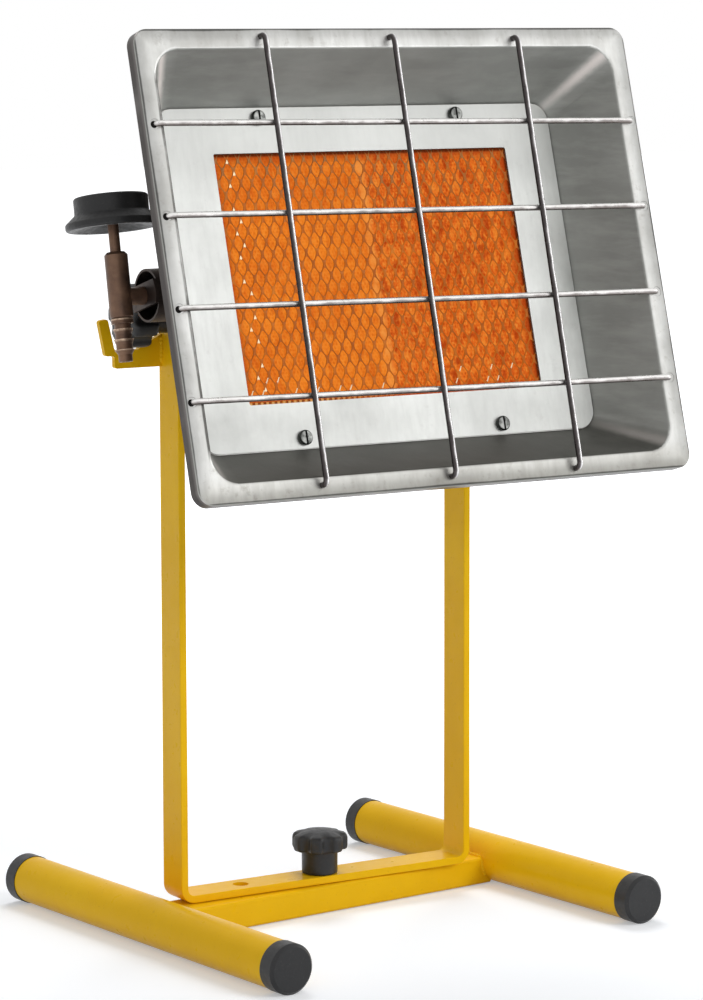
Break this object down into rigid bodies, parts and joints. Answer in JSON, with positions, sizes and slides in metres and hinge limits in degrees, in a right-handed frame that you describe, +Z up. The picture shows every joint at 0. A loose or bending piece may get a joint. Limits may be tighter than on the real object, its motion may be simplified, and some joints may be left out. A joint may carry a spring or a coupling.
{
  "type": "infrared gas heater on a stand",
  "caption": "Portable gas infrared heater: glowing ceramic burner in a stainless reflector with a wire guard, tilting and turning on a low yellow steel stand.",
  "frame": {"origin": "on the floor, in the middle of the heater's footprint", "axes": "+Z up; the burner faces -Y; the tilt axis lies along X. The stand's feet are turned 5.4 degrees about +Z, because the swivel in the picture is not quite straight"},
  "size_m": [0.3052, 0.2694, 0.4698],
  "materials": {
    "yellow_paint": "satin powder coat",
    "black_plastic": "moulded, matte",
    "zinc_steel": "zinc plated",
    "stainless_sheet": "cold-rolled, satin",
    "guard_wire": "drawn wire, satin",
    "burner_steel": "dull, heat-darkened",
    "mesh_wire": "heat-blued",
    "glowing_ceramic": "glowing, matte",
    "ceramic_fibre": "fibrous, matte",
    "tarnished_brass": "tarnished"
  },
  "bodies": {
    "base": {"foot_tube_left": "yellow_paint", "foot_tube_right": "yellow_paint", "crossbar": "yellow_paint", "foot_cap_front_left": "black_plastic", "foot_cap_front_right": "black_plastic", "foot_cap_back_left": "black_plastic", "foot_cap_back_right": "black_plastic", "base_weld_nut": "zinc_steel"},
    "yoke": {"yoke_strip": "yellow_paint", "hose_hook": "yellow_paint"},
    "base_knob": {"base_knob": "black_plastic", "base_knob_stud": "zinc_steel"},
    "tilt_knob_left": {"tilt_knob_left": "black_plastic", "tilt_knob_stud_left": "zinc_steel"},
    "tilt_knob_right": {"tilt_knob_right": "black_plastic", "tilt_knob_stud_right": "zinc_steel"},
    "valve_knob": {"valve_handwheel": "black_plastic", "valve_stem": "tarnished_brass"},
    "head": {"pivot_nut_left": "zinc_steel", "pivot_nut_right": "zinc_steel", "plate_screws": "zinc_steel", "plate_nuts": "zinc_steel", "reflector": "stainless_sheet", "front_plate": "stainless_sheet", "guard_wire_across_1": "guard_wire", "guard_wire_across_2": "guard_wire", "guard_wire_across_3": "guard_wire", "guard_wire_across_4": "guard_wire", "guard_wire_upright_1": "guard_wire", "guard_wire_upright_2": "guard_wire", "guard_wire_upright_3": "guard_wire", "burner_box": "burner_steel", "mixing_tube": "burner_steel", "jet_holder": "burner_steel", "head_bracket_left": "burner_steel", "head_bracket_right": "burner_steel", "plaque_seat": "burner_steel", "burner_mesh": "mesh_wire", "plaque_left": "glowing_ceramic", "plaque_right": "glowing_ceramic", "plaque_gasket": "ceramic_fibre", "valve_body": "tarnished_brass", "gland_nut": "tarnished_brass", "hose_barb": "tarnished_brass", "injector": "tarnished_brass"}
  },
  "joints": [
    {"name": "yoke_swivel", "type": "hinge", "parent": "base", "child": "yoke", "pos_m": [0.0061, 0.0093, 0], "axis": [0, 0, 1], "continuous": true},
    {"name": "base_knob_turn", "type": "hinge", "parent": "base", "child": "base_knob", "pos_m": [0.0061, 0.0093, 0], "axis": [0, 0, 1], "range_deg": [0, 540]},
    {"name": "head_tilt", "type": "hinge", "parent": "yoke", "child": "head", "pos_m": [0.0061, 0.0093, 0.3243], "axis": [-1, 0, 0], "range_deg": [-19, 74]},
    {"name": "tilt_knob_left_turn", "type": "hinge", "parent": "head", "child": "tilt_knob_left", "pos_m": [0.0061, 0.0093, 0.3243], "axis": [-1, 0, 0], "range_deg": [0, 540]},
    {"name": "tilt_knob_right_turn", "type": "hinge", "parent": "head", "child": "tilt_knob_right", "pos_m": [0.0061, 0.0093, 0.3243], "axis": [1, 0, 0], "range_deg": [0, 540]},
    {"name": "valve_turn", "type": "hinge", "parent": "head", "child": "valve_knob", "pos_m": [-0.1287, -0.02263, 0.3369], "axis": [0, 0.1805, 0.9836], "range_deg": [-540, 0]}
  ]
}
